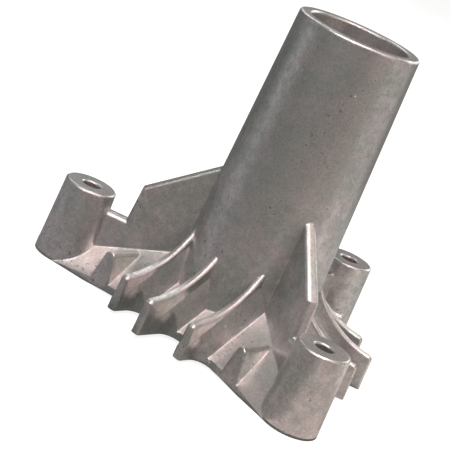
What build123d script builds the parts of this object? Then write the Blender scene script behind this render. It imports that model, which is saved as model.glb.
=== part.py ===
from build123d import *
import os
from math import cos, radians, sin, tan

# Die-cast housing of a mower blade spindle. The bore axis is Z, and the origin
# lies on it, at the mouth of the lower bearing seat. Lengths are in
# millimetres and angles in degrees.

# Bore: two ball bearing seats with a narrower shaft bore between them
BEARING_D = 40.0
SEAT_DEPTH = 13.0
SHAFT_BORE_D = 34.0
SEAT_CHAMFER = 0.6

# Tube round the bore, slimmer towards the top
HOUSING_HEIGHT = 129.8
TUBE_TOP_D = 49.2
TUBE_DRAFT = 1.9
TUBE_RIM_ROUND = 1.0

# Screw bosses, whose tops meet the underside of the deck
ARMS = 3
ARM_START = 60.0
BOLT_CIRCLE_D = 142.4
BOSS_HEIGHT = 32.0
BOSS_TOP_D = 20.8
BOSS_DRAFT = 1.9
BOSS_CHAMFER = 0.6
SCREW_HOLE_D = 7.4
SCREW_HOLE_DEPTH = 24.0
SCREW_HOLE_CHAMFER = 0.5

# Gussets from the tube to the bosses, with a low saddle before each boss
GUSSET_THICKNESS = 5.4
GUSSET_DRAFT = 1.0
GUSSET_TUBE_HEIGHT = 61.0
GUSSET_CORNER_HEIGHT = 40.3
GUSSET_CORNER_REACH = 51.9
GUSSET_END_DRAFT = 4.0
SADDLE_HEIGHT = 25.6

# Skirt: a sloped panel between each two bosses, waisted along its outer edge
SKIRT_WAIST = 39.5
SKIRT_EDGE_HEIGHT = 5.3
SKIRT_SLOPE = 36.9
SKIRT_ARCH_RISE = 2.0
SKIRT_ARCH_WIDTH = 84.0

# Pockets cored out of the underside, one below each panel
PANEL_WALL = 3.5
RIM_WALL = 4.0
ARM_WEB = 9.0
BOSS_WALL = 1.5
POCKET_DEPTH = 15.0
POCKET_DRAFT = 2.0
POCKET_CORNER_CHAMFER = 1.2

# Ribs on each panel: fins in the middle of it, whose roots flare out above the panel,
# and low flared ribs beside them
RIB_PITCH = 17.6
RIBS_EACH_SIDE = 2
RIB_HEIGHT = 16.1
RIB_THICKNESS = 3.2
RIB_DRAFT = 12.0
FINS_EACH_SIDE = 1
FIN_DRAFT = 0.8
FIN_ROOT_THICKNESS = 2.6
FIN_ROOT_RISE = 12.0
FIN_ROOT_DRAFT = 24.0
FIN_MID_REACH = 57.8
FIN_STEP_BACK = 5.2
FIN_RUN = 33.0
FIN_RISE = 23.0
FIN_TIP_SLOPE = 5.0
FIN_TIP_DRAFT = 2.0
FIN_TIP_TOP_BEVEL = 1.0
FIN_TIP_FOOT_BEVEL = 1.6

# Softened corners as shares of the wall or gap that they lie in: rounded edges of the
# gussets, chamfered edges of the ribs and fins, and the hollows between the fins
GUSSET_ROUND_SHARE = 0.38
RIB_CHAMFER_SHARE = 0.28
FIN_ROOT_SHARE = 0.43

NODE = "spindle_housing"

UPRIGHT = (Align.CENTER, Align.CENTER, Align.MIN)
HANGING = (Align.CENTER, Align.CENTER, Align.MAX)
OUTWARDS = (Align.MIN, Align.CENTER)

bolt_r = BOLT_CIRCLE_D / 2
boss_foot_r = BOSS_TOP_D / 2 + BOSS_HEIGHT * tan(radians(BOSS_DRAFT))
half_turn = 180 / ARMS
arm_angles = [ARM_START + 2 * half_turn * i for i in range(ARMS)]
side_angles = [angle + half_turn for angle in arm_angles]


def around(angles, shape):
    """Copies of a shape modelled along +X, turned to each of the angles."""
    return [Rot(0, 0, angle) * shape for angle in angles]


def tube_radius(height):
    return TUBE_TOP_D / 2 + (HOUSING_HEIGHT - height) * tan(radians(TUBE_DRAFT))


def top_edge(cone):
    return cone.edges().filter_by(GeomType.CIRCLE).sort_by(Axis.Z)[-1]


def tube():
    """Tapered tube over the full height, with its top edge rounded."""
    body = Cone(tube_radius(0), TUBE_TOP_D / 2, HOUSING_HEIGHT, align=UPRIGHT)
    return fillet(top_edge(body), TUBE_RIM_ROUND)


def bore():
    """Shaft bore with a bearing seat at each end, the upper one with a chamfered mouth."""
    seat_r = BEARING_D / 2
    shaft = Cylinder(SHAFT_BORE_D / 2, HOUSING_HEIGHT, align=UPRIGHT)
    lower = Cylinder(seat_r, SEAT_DEPTH, align=UPRIGHT)
    upper = Cylinder(seat_r, SEAT_DEPTH, align=HANGING)
    upper += Cone(seat_r, seat_r + SEAT_CHAMFER, SEAT_CHAMFER, align=HANGING)
    return shaft + lower + Pos(0, 0, HOUSING_HEIGHT) * upper


def boss():
    """Drafted screw boss in its place along +X, with its top edge chamfered."""
    body = Cone(boss_foot_r, BOSS_TOP_D / 2, BOSS_HEIGHT, align=UPRIGHT)
    return Pos(bolt_r, 0, 0) * chamfer(top_edge(body), BOSS_CHAMFER)


def screw_hole():
    """Blind hole for a thread-forming screw, with a chamfered mouth."""
    hole_r = SCREW_HOLE_D / 2
    hole = Cylinder(hole_r, SCREW_HOLE_DEPTH, align=HANGING)
    mouth = Cone(hole_r, hole_r + SCREW_HOLE_CHAMFER, SCREW_HOLE_CHAMFER, align=HANGING)
    return Pos(bolt_r, 0, BOSS_HEIGHT) * (hole + mouth)


def drafted_web(profile, thickness, level, angle, soften, share):
    """Upright web from a side profile in XZ. It is as thick as stated at a level and its
    flanks lean by an angle. Its edges outside the tube are softened, by a share of its
    thickness at the top."""
    web = extrude(Plane.XZ * profile, thickness / 2, both=True)
    web = draft(web.faces().filter_by(Axis.Y), Plane.XY.offset(level), angle)
    top = web.bounding_box().max.Z
    top_thickness = thickness - 2 * (top - level) * tan(radians(angle))
    flanks = web.faces().sort_by(Axis.Y)
    edges = flanks[0].edges().sort_by(Axis.Z)[1:] + flanks[-1].edges().sort_by(Axis.Z)[1:]
    outside = [edge for edge in edges if edge.center().X > SHAFT_BORE_D / 2]
    return soften(outside, share * top_thickness)


def gusset():
    """Sloped web that braces the tube, and the lower saddle web out to the boss."""
    tube_r = tube_radius(GUSSET_TUBE_HEIGHT)
    steepness = (GUSSET_TUBE_HEIGHT - GUSSET_CORNER_HEIGHT) / (GUSSET_CORNER_REACH - tube_r)
    root = SHAFT_BORE_D / 2
    root_height = GUSSET_TUBE_HEIGHT + steepness * (tube_r - root)
    toe = GUSSET_CORNER_REACH + GUSSET_CORNER_HEIGHT * tan(radians(GUSSET_END_DRAFT))
    corner = (GUSSET_CORNER_REACH, GUSSET_CORNER_HEIGHT)
    brace = Polyline((0, 0), (toe, 0), corner, (root, root_height), (0, root_height), close=True)
    saddle = Polyline((0, 0), (bolt_r, 0), (bolt_r, SADDLE_HEIGHT), (0, SADDLE_HEIGHT), close=True)
    level = GUSSET_CORNER_HEIGHT
    webs = [
        drafted_web(make_face(outline), GUSSET_THICKNESS, level, GUSSET_DRAFT, fillet, GUSSET_ROUND_SHARE)
        for outline in (brace, saddle)
    ]
    return webs[0] + webs[1]


def hull_plan():
    """Plan of the skirt: boss circles joined by arcs that curve inwards."""
    boss_centre = Vector(bolt_r, 0).rotate(Axis.Z, half_turn)
    depth = SKIRT_WAIST - boss_centre.X
    side_r = (boss_centre.Y**2 + depth**2 - boss_foot_r**2) / (2 * (boss_foot_r - depth))
    side_centre = Vector(SKIRT_WAIST + side_r, 0)
    touch = boss_centre + (side_centre - boss_centre).normalized() * boss_foot_r
    mirrored = Vector(touch.X, -touch.Y)
    lobe_tip = boss_centre + boss_centre.normalized() * boss_foot_r
    side_arc = ThreePointArc(mirrored, (SKIRT_WAIST, 0), touch)
    lobe_arc = ThreePointArc(touch, lobe_tip, mirrored.rotate(Axis.Z, 2 * half_turn))
    return make_face(around(side_angles, side_arc) + around(side_angles, lobe_arc))


def fin_rows():
    """Offset along a side and reach from the axis of each of its fins."""
    rows = range(-FINS_EACH_SIDE, FINS_EACH_SIDE + 1)
    return [(RIB_PITCH * i, FIN_MID_REACH - FIN_STEP_BACK * abs(i)) for i in rows]


def skirt_plan():
    """Hull with a tab below each fin, filleted where the tabs leave the hull."""
    foot = RIB_THICKNESS + 2 * RIB_HEIGHT * tan(radians(FIN_DRAFT))
    plan = hull_plan()
    for along, reach in fin_rows():
        plan += around(side_angles, Pos(0, along) * Rectangle(reach, foot, align=OUTWARDS))
    root_count = 2 * len(fin_rows()) * ARMS
    roots = plan.vertices().sort_by_distance((0, 0, 0))[:root_count]
    return fillet(roots, FIN_ROOT_SHARE * (RIB_PITCH - foot))


def pyramid(drop):
    """Solid below the sloped panels, or below planes that lie a drop under them."""
    steepness = tan(radians(SKIRT_SLOPE))
    foot = SKIRT_WAIST + (SKIRT_EDGE_HEIGHT - drop) / steepness
    crown = SHAFT_BORE_D / 4
    base = RegularPolygon(foot, ARMS, major_radius=False, rotation=ARM_START)
    tip = RegularPolygon(crown, ARMS, major_radius=False, rotation=ARM_START)
    return loft([base, Pos(0, 0, steepness * (foot - crown)) * tip])


def low_rib(along):
    """Flared rib along +X at an offset along its side, from the arm to beyond the edge."""
    start = abs(along) / tan(radians(half_turn))
    side = Pos(start, 0) * Rectangle(FIN_MID_REACH, RIB_HEIGHT, align=(Align.MIN, Align.MIN))
    web = drafted_web(side, RIB_THICKNESS, RIB_HEIGHT, RIB_DRAFT, chamfer, RIB_CHAMFER_SHARE)
    return Pos(0, along, 0) * web


def fin_root():
    """Foot of a fin along +X, which flares out below a plane parallel to the panel."""
    steepness = tan(radians(SKIRT_SLOPE))
    crest = SKIRT_EDGE_HEIGHT + FIN_ROOT_RISE
    inner = (SHAFT_BORE_D / 2, crest + (SKIRT_WAIST - SHAFT_BORE_D / 2) * steepness)
    outer = (SKIRT_WAIST + crest / steepness, 0)
    side = make_face(Polyline((inner[0], 0), outer, inner, close=True))
    body = extrude(Plane.XZ * side, FIN_ROOT_THICKNESS / 2, both=True)
    leaning = (sin(radians(SKIRT_SLOPE)), 0, cos(radians(SKIRT_SLOPE)))
    crest_plane = Plane(origin=(SKIRT_WAIST, 0, crest), z_dir=leaning)
    return draft(body.faces().filter_by(Axis.Y), crest_plane, FIN_ROOT_DRAFT)


def fin(reach):
    """Thin fin along +X, whose top sweeps up to the tube in an arc."""
    foot = reach + RIB_HEIGHT * tan(radians(FIN_TIP_DRAFT))
    tip = (reach, RIB_HEIGHT)
    inner = (reach - FIN_RUN, RIB_HEIGHT + FIN_RISE)
    heading = (-cos(radians(FIN_TIP_SLOPE)), sin(radians(FIN_TIP_SLOPE)))
    lines = Polyline(inner, (0, inner[1]), (0, 0), (foot, 0), tip)
    profile = make_face([lines, TangentArc(tip, inner, tangent=heading)])
    profile = chamfer(profile.vertices().sort_by_distance(tip)[0], FIN_TIP_TOP_BEVEL)
    profile = chamfer(profile.vertices().sort_by_distance((foot, 0))[0], FIN_TIP_FOOT_BEVEL)
    return drafted_web(profile, RIB_THICKNESS, RIB_HEIGHT, FIN_DRAFT, chamfer, RIB_CHAMFER_SHARE)


def skirt():
    """Sloped panels with their low ribs, cut to the plan, and the fins over them."""
    body = pyramid(0)
    for i in range(FINS_EACH_SIDE + 1, RIBS_EACH_SIDE + 1):
        for along in (-RIB_PITCH * i, RIB_PITCH * i):
            body += around(side_angles, low_rib(along))
    for along, reach in fin_rows():
        body += around(side_angles, Pos(0, along, 0) * fin_root())
    body &= extrude(skirt_plan(), RIB_HEIGHT + FIN_RISE)
    for along, reach in fin_rows():
        body += around(side_angles, Pos(0, along, 0) * fin(reach))
    return body


def pocket():
    """Drafted hollow under the panel of one side, modelled along +X."""
    arm = Rectangle(bolt_r, ARM_WEB, align=OUTWARDS)
    pad = Pos(bolt_r, 0) * Circle(boss_foot_r + BOSS_WALL)
    plan = offset(hull_plan(), -RIM_WALL) - Circle(tube_radius(0)) - around(arm_angles, arm + pad)
    block = extrude(plan.faces().sort_by(Axis.X)[-1], POCKET_DEPTH, taper=POCKET_DRAFT)
    corners = block.edges().filter_by_position(Axis.Z, 0, POCKET_DEPTH, inclusive=(False, False))
    return chamfer(corners, POCKET_CORNER_CHAMFER) & pyramid(PANEL_WALL / cos(radians(SKIRT_SLOPE)))


def arch():
    """Shallow arch that lifts the lower edge of one side, modelled along +X."""
    radius = (SKIRT_ARCH_WIDTH**2 / 4 + SKIRT_ARCH_RISE**2) / (2 * SKIRT_ARCH_RISE)
    pocket_middle = (tube_radius(0) + SKIRT_WAIST - RIM_WALL) / 2
    roller = Rot(0, 90, 0) * Cylinder(radius, FIN_MID_REACH, align=UPRIGHT)
    return Pos(pocket_middle, 0, SKIRT_ARCH_RISE - radius) * roller


housing = tube() + skirt()
housing += around(arm_angles, boss()) + around(arm_angles, gusset())
housing -= around(side_angles, arch())
housing -= around(side_angles, pocket())
housing -= around(arm_angles, screw_hole())
housing -= bore()

os.makedirs("parts", exist_ok=True)
export_step(housing, os.path.join("parts", NODE + ".step"))
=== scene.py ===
import math

import bpy
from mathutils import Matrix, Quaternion, Vector

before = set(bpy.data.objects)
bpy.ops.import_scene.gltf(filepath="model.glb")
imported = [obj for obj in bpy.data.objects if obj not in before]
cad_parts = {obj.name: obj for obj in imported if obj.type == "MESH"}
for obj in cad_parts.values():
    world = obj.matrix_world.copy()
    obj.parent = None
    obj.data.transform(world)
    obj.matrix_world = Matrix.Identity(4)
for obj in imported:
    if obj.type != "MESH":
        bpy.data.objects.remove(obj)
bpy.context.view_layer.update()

# Looks of the spindle housing: bare die-cast aluminium on a pale floor. Lengths are in
# metres, in the CAD frame, whose Z is the bore axis with the base at zero.

MM = 0.001
UP = Vector((0, 0, 1))

# Camera, as fitted to the photograph
CAMERA_PLACE = Vector((4.76, -595.31, 209.85)) * MM
CAMERA_TARGET = Vector((-16.48, -7.22, 41.82)) * MM
CAMERA_ROLL = math.radians(24.39)
CAMERA_LENS_MM = 126.67
CAMERA_SENSOR_MM = 36.0
CAMERA_NEAR = 10 * MM

# Floor and sky
FLOOR_SIZE = 60.0
FLOOR_COLOUR = (0.35, 0.35, 0.35, 1)
FLOOR_ROUGHNESS = 0.9
FLOOR_SPECULAR = 0.0
FLOOR_GLOW_COLOUR = (1, 1, 1, 1)
FLOOR_GLOW = 0.86
SKY_COLOUR = (0.93, 1.0, 0.92, 1)
SKY_STRENGTH = 0.155

# Colours of the lamps
WARM = (1.0, 0.79, 0.74)
PALE = (1.0, 0.92, 0.89)
PINK = (1.0, 0.82, 0.95)
COOL = (0.93, 0.95, 1.0)

# Lamps, all at one distance from the point they aim at. Each has its bearing from +X
# towards +Y and its elevation, in degrees as seen from that point, its watts and its colour.
AIM = Vector((0, 0, 50)) * MM
LAMP_DISTANCE = 1.2
LAMP_SIZE = 0.7
LAMPS = {
    "key": (300, 65, 6.6, WARM),
    "front": (240, 45, 7.2, PALE),
    "fill": (270, 45, 3.3, PINK),
    "low_left": (180, 5, 0.5, COOL),
    "back_left": (120, 45, 2.9, COOL),
    "back_right": (60, 25, 3.6, PALE),
    "low_back_right": (30, 5, 0.6, PALE),
    "low_right": (0, 5, 0.7, PALE),
    "front_right": (330, 25, 2.5, WARM),
    "top_right": (16, 62, 1.0, PALE),
}

# Bounces: faint lamps just above the floor that shine upwards, as white paper near the part
# would. Each has its bearing, its watts and its colour.
BOUNCE_DISTANCE = 0.2
BOUNCE_HEIGHT = 1 * MM
BOUNCE_SIZE = 0.3
BOUNCES = {
    "bounce_right": (30, 0.112, PALE),
    "bounce_front_right": (330, 0.11, WARM),
    "bounce_front": (270, 0.042, WARM),
    "bounce_left": (180, 0.044, PINK),
}

# Colours of the cast skin and of its marks
CAST_LIGHT = (0.555, 0.53, 0.525, 1)
CAST_DARK = (0.485, 0.50, 0.48, 1)
PIT_COLOUR = (0.22, 0.21, 0.20, 1)
NICK_COLOUR = (0.97, 0.95, 0.94, 1)
# Colour of upward edges: partly bare rubbed metal, partly a painted highlight
WORN_AND_HIGHLIT_EDGE_COLOUR = (0.95, 0.92, 0.90, 1)
METALLIC = 0.95

# Noises of the skin, each with the size of its blotches, its levels of detail and its
# distortion. Pits lie only where there are flaws. Nicks are spots in some cells of a pitch.
CLOUDS = (11 * MM, 5, 0.6)
PATCHES = (3.5 * MM, 4, 0.3)
GRAIN = (0.8 * MM, 3, 0.0)
FLAWS = (14 * MM, 2, 0.0)
PITS = (1.4 * MM, 3, 0.5)
NICK_PITCH = 7 * MM
NICK_RADIUS = 0.45 * MM
NICK_SHARE = 0.2

# Stretches of a noise, over which what it drives goes from its first value to its second
CLOUD_STRETCH = (0.38, 0.62)
FLAW_STRETCH = (0.48, 0.62)
PIT_STRETCH = (0.62, 0.7)
WIDE_STRETCH = (0.25, 0.75)

# What the patches and the grain drive: factors on the colour, and the roughness
PATCH_SHADE = (0.87, 1.14)
GRAIN_SHADE = (0.85, 1.12)
PATCH_ROUGHNESS = (0.44, 0.34)

# Edges are softened, and those that face up are rubbed bright and a little smoother. The
# brightening is partly real wear and partly a painted highlight, kept to upward faces where
# overhead light catches them.
# Rays sent into the metal find them: solidity is the share that meets no face within the edge
# radius, and it falls towards an edge.
EDGE_RADIUS = 0.9 * MM
EDGE_SOLIDITY = (0.95, 0.55)
EDGE_SAMPLES = 8
SOFT_SAMPLES = 6
RUB_PATCH_STRETCH = (0.3, 0.6)
RUB_PATCH_SHARE = (0.6, 1.0)
UPWARD_RUB_AND_HIGHLIGHT_STRETCH = (0.1, 0.6)
UPWARD_RUB_AND_HIGHLIGHT_SHARE = (0.15, 1.0)
RUB_SMOOTHING = 0.1

# Relief of the skin, in shares of its depth. Nicks take all of it, and pits go inwards.
RELIEF_DEPTH = 0.3 * MM
RELIEF_STRENGTH = 0.35
PATCH_RELIEF = 0.5
GRAIN_RELIEF = 0.1
PIT_RELIEF = 0.4


def look_at(obj, place, target):
    obj.location = place
    obj.rotation_mode = "QUATERNION"
    obj.rotation_quaternion = (target - place).to_track_quat("-Z", "Y")


def add_camera():
    data = bpy.data.cameras.new("camera")
    data.lens = CAMERA_LENS_MM
    data.sensor_width = CAMERA_SENSOR_MM
    data.clip_start = CAMERA_NEAR
    camera = bpy.data.objects.new("camera", data)
    bpy.context.scene.collection.objects.link(camera)
    look_at(camera, CAMERA_PLACE, CAMERA_TARGET)
    camera.rotation_quaternion @= Quaternion((0, 0, 1), CAMERA_ROLL)
    bpy.context.scene.camera = camera


def heading(bearing, elevation):
    """Direction of length 1 for a bearing and an elevation in degrees."""
    turn = math.radians(bearing)
    rise = math.radians(elevation)
    level = math.cos(rise)
    return Vector((level * math.cos(turn), level * math.sin(turn), math.sin(rise)))


def add_lamp(name, place, target, size, power, colour):
    """Round area lamp that the camera doesn't see."""
    data = bpy.data.lights.new(name, "AREA")
    data.shape = "DISK"
    data.size = size
    data.energy = power
    data.color = colour
    lamp = bpy.data.objects.new(name, data)
    lamp.visible_camera = False
    bpy.context.scene.collection.objects.link(lamp)
    look_at(lamp, place, target)


def add_floor():
    """Pale floor that glows a little, so that it stays near white into the distance. The
    metal neither mirrors it nor loses the light of the sky to it."""
    bpy.ops.mesh.primitive_plane_add(size=FLOOR_SIZE)
    floor = bpy.context.object
    floor.name = "floor"
    floor.visible_glossy = False
    floor.visible_diffuse = False
    floor.visible_shadow = False
    paint = bpy.data.materials.new("floor_paint")
    paint.use_nodes = True
    shader = paint.node_tree.nodes["Principled BSDF"]
    shader.inputs["Base Color"].default_value = FLOOR_COLOUR
    shader.inputs["Roughness"].default_value = FLOOR_ROUGHNESS
    shader.inputs["Specular IOR Level"].default_value = FLOOR_SPECULAR
    shader.inputs["Emission Color"].default_value = FLOOR_GLOW_COLOUR
    shader.inputs["Emission Strength"].default_value = FLOOR_GLOW
    floor.data.materials.append(paint)


def add_sky():
    world = bpy.data.worlds.new("studio")
    world.use_nodes = True
    sky = world.node_tree.nodes["Background"]
    sky.inputs["Color"].default_value = SKY_COLOUR
    sky.inputs["Strength"].default_value = SKY_STRENGTH
    bpy.context.scene.world = world


def add_lamps():
    for name, (bearing, elevation, power, colour) in LAMPS.items():
        place = AIM + LAMP_DISTANCE * heading(bearing, elevation)
        add_lamp(name, place, AIM, LAMP_SIZE, power, colour)
    for name, (bearing, power, colour) in BOUNCES.items():
        place = BOUNCE_DISTANCE * heading(bearing, 0) + BOUNCE_HEIGHT * UP
        add_lamp(name, place, place + UP, BOUNCE_SIZE, power, colour)


class Nodes:
    """Node tree of a material, filled by short calls."""

    def __init__(self, material):
        material.use_nodes = True
        self.tree = material.node_tree
        self.shader = self.tree.nodes["Principled BSDF"]

    def put(self, value, socket):
        """Links another node's output to the socket, or sets the socket to a plain value."""
        if isinstance(value, bpy.types.NodeSocket):
            self.tree.links.new(value, socket)
        else:
            socket.default_value = value

    def add(self, kind, inputs, **settings):
        node = self.tree.nodes.new("ShaderNode" + kind)
        for name, value in settings.items():
            setattr(node, name, value)
        for name, value in inputs.items():
            self.put(value, node.inputs[name])
        return node

    def noise(self, place, size, detail, distortion):
        """Noise from 0 to 1 whose blotches are about as large as the size."""
        inputs = {"Vector": place, "Scale": 1 / size, "Detail": detail, "Distortion": distortion}
        return self.add("TexNoise", inputs).outputs["Fac"]

    def ramp(self, value, low, high, start=0.0, end=1.0):
        """Smooth ramp that goes from start to end as the value goes from low to high."""
        inputs = {"Value": value, "From Min": low, "From Max": high, "To Min": start, "To Max": end}
        return self.add("MapRange", inputs, interpolation_type="SMOOTHSTEP").outputs["Result"]

    def math(self, operation, a, b):
        return self.add("Math", {0: a, 1: b}, operation=operation).outputs[0]

    def times(self, a, b):
        return self.math("MULTIPLY", a, b)

    def mix(self, share, a, b, blend="MIX"):
        """Colour a with a share of colour b, through the mix node's sockets for colours."""
        node = self.add("Mix", {0: share, 6: a, 7: b}, data_type="RGBA", blend_type=blend)
        return node.outputs[2]

    def spots(self, place, pitch, radius, share):
        """Mask of round spots, solid to half their radius, in a share of the cells of a pitch."""
        cells = self.add("TexVoronoi", {"Vector": place, "Scale": 1 / pitch})
        luck = self.add("SeparateColor", {"Color": cells.outputs["Color"]}).outputs["Red"]
        chosen = self.math("LESS_THAN", luck, share)
        reach = radius / pitch
        spot = self.ramp(cells.outputs["Distance"], reach / 2, reach, 1.0, 0.0)
        return self.times(spot, chosen)


def cast_material():
    """Dull cast skin: mottled and grainy, with pits, nicks and upper edges lightened, partly by
    wear and partly by a painted highlight.
    """
    material = bpy.data.materials.new("cast_aluminium_skin")
    nodes = Nodes(material)
    sockets = nodes.shader.inputs
    coordinates = nodes.add("TexCoord", {}).outputs
    place = coordinates["Object"]
    upward = nodes.add("SeparateXYZ", {"Vector": coordinates["Normal"]}).outputs["Z"]

    clouds = nodes.noise(place, *CLOUDS)
    patches = nodes.noise(place, *PATCHES)
    grain = nodes.noise(place, *GRAIN)
    flaws = nodes.ramp(nodes.noise(place, *FLAWS), *FLAW_STRETCH)
    pits = nodes.times(nodes.ramp(nodes.noise(place, *PITS), *PIT_STRETCH), flaws)
    nicks = nodes.spots(place, NICK_PITCH, NICK_RADIUS, NICK_SHARE)

    reach = {"Distance": EDGE_RADIUS}
    solidity = nodes.add("AmbientOcclusion", reach, inside=True, samples=EDGE_SAMPLES).outputs["AO"]
    rubbed_patches = nodes.ramp(patches, *RUB_PATCH_STRETCH, *RUB_PATCH_SHARE)
    # Share that grows on faces turned up: rubbing, and also a painted highlight where overhead
    # light falls
    upward_rub_and_highlight = nodes.ramp(upward, *UPWARD_RUB_AND_HIGHLIGHT_STRETCH, *UPWARD_RUB_AND_HIGHLIGHT_SHARE)
    rubbed_and_highlit = nodes.times(rubbed_patches, upward_rub_and_highlight)
    wear_and_highlight = nodes.times(nodes.ramp(solidity, *EDGE_SOLIDITY), rubbed_and_highlit)

    colour = nodes.mix(nodes.ramp(clouds, *CLOUD_STRETCH), CAST_DARK, CAST_LIGHT)
    patch_shade = nodes.ramp(patches, *WIDE_STRETCH, *PATCH_SHADE)
    grain_shade = nodes.ramp(grain, *WIDE_STRETCH, *GRAIN_SHADE)
    colour = nodes.mix(1.0, colour, nodes.times(patch_shade, grain_shade), "MULTIPLY")
    # Upward edges painted lighter: partly wear, partly a painted highlight
    colour = nodes.mix(wear_and_highlight, colour, WORN_AND_HIGHLIT_EDGE_COLOUR)
    colour = nodes.mix(pits, colour, PIT_COLOUR)
    colour = nodes.mix(nicks, colour, NICK_COLOUR)
    nodes.put(colour, sockets["Base Color"])

    roughness = nodes.ramp(patches, *WIDE_STRETCH, *PATCH_ROUGHNESS)
    roughness = nodes.math("SUBTRACT", roughness, nodes.times(wear_and_highlight, RUB_SMOOTHING))
    nodes.put(roughness, sockets["Roughness"])
    sockets["Metallic"].default_value = METALLIC

    soft = nodes.add("Bevel", {"Radius": EDGE_RADIUS}, samples=SOFT_SAMPLES).outputs["Normal"]
    skin = nodes.math("ADD", nodes.times(patches, PATCH_RELIEF), nodes.times(grain, GRAIN_RELIEF))
    skin = nodes.math("SUBTRACT", skin, nodes.times(pits, PIT_RELIEF))
    skin = nodes.math("ADD", skin, nicks)
    relief = {"Strength": RELIEF_STRENGTH, "Distance": RELIEF_DEPTH, "Height": skin, "Normal": soft}
    nodes.put(nodes.add("Bump", relief).outputs["Normal"], sockets["Normal"])
    return material


add_camera()
add_sky()
add_floor()
add_lamps()
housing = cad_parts["spindle_housing"]
housing.data.materials.clear()
housing.data.materials.append(cast_material())
bpy.context.scene.view_settings.view_transform = "Standard"
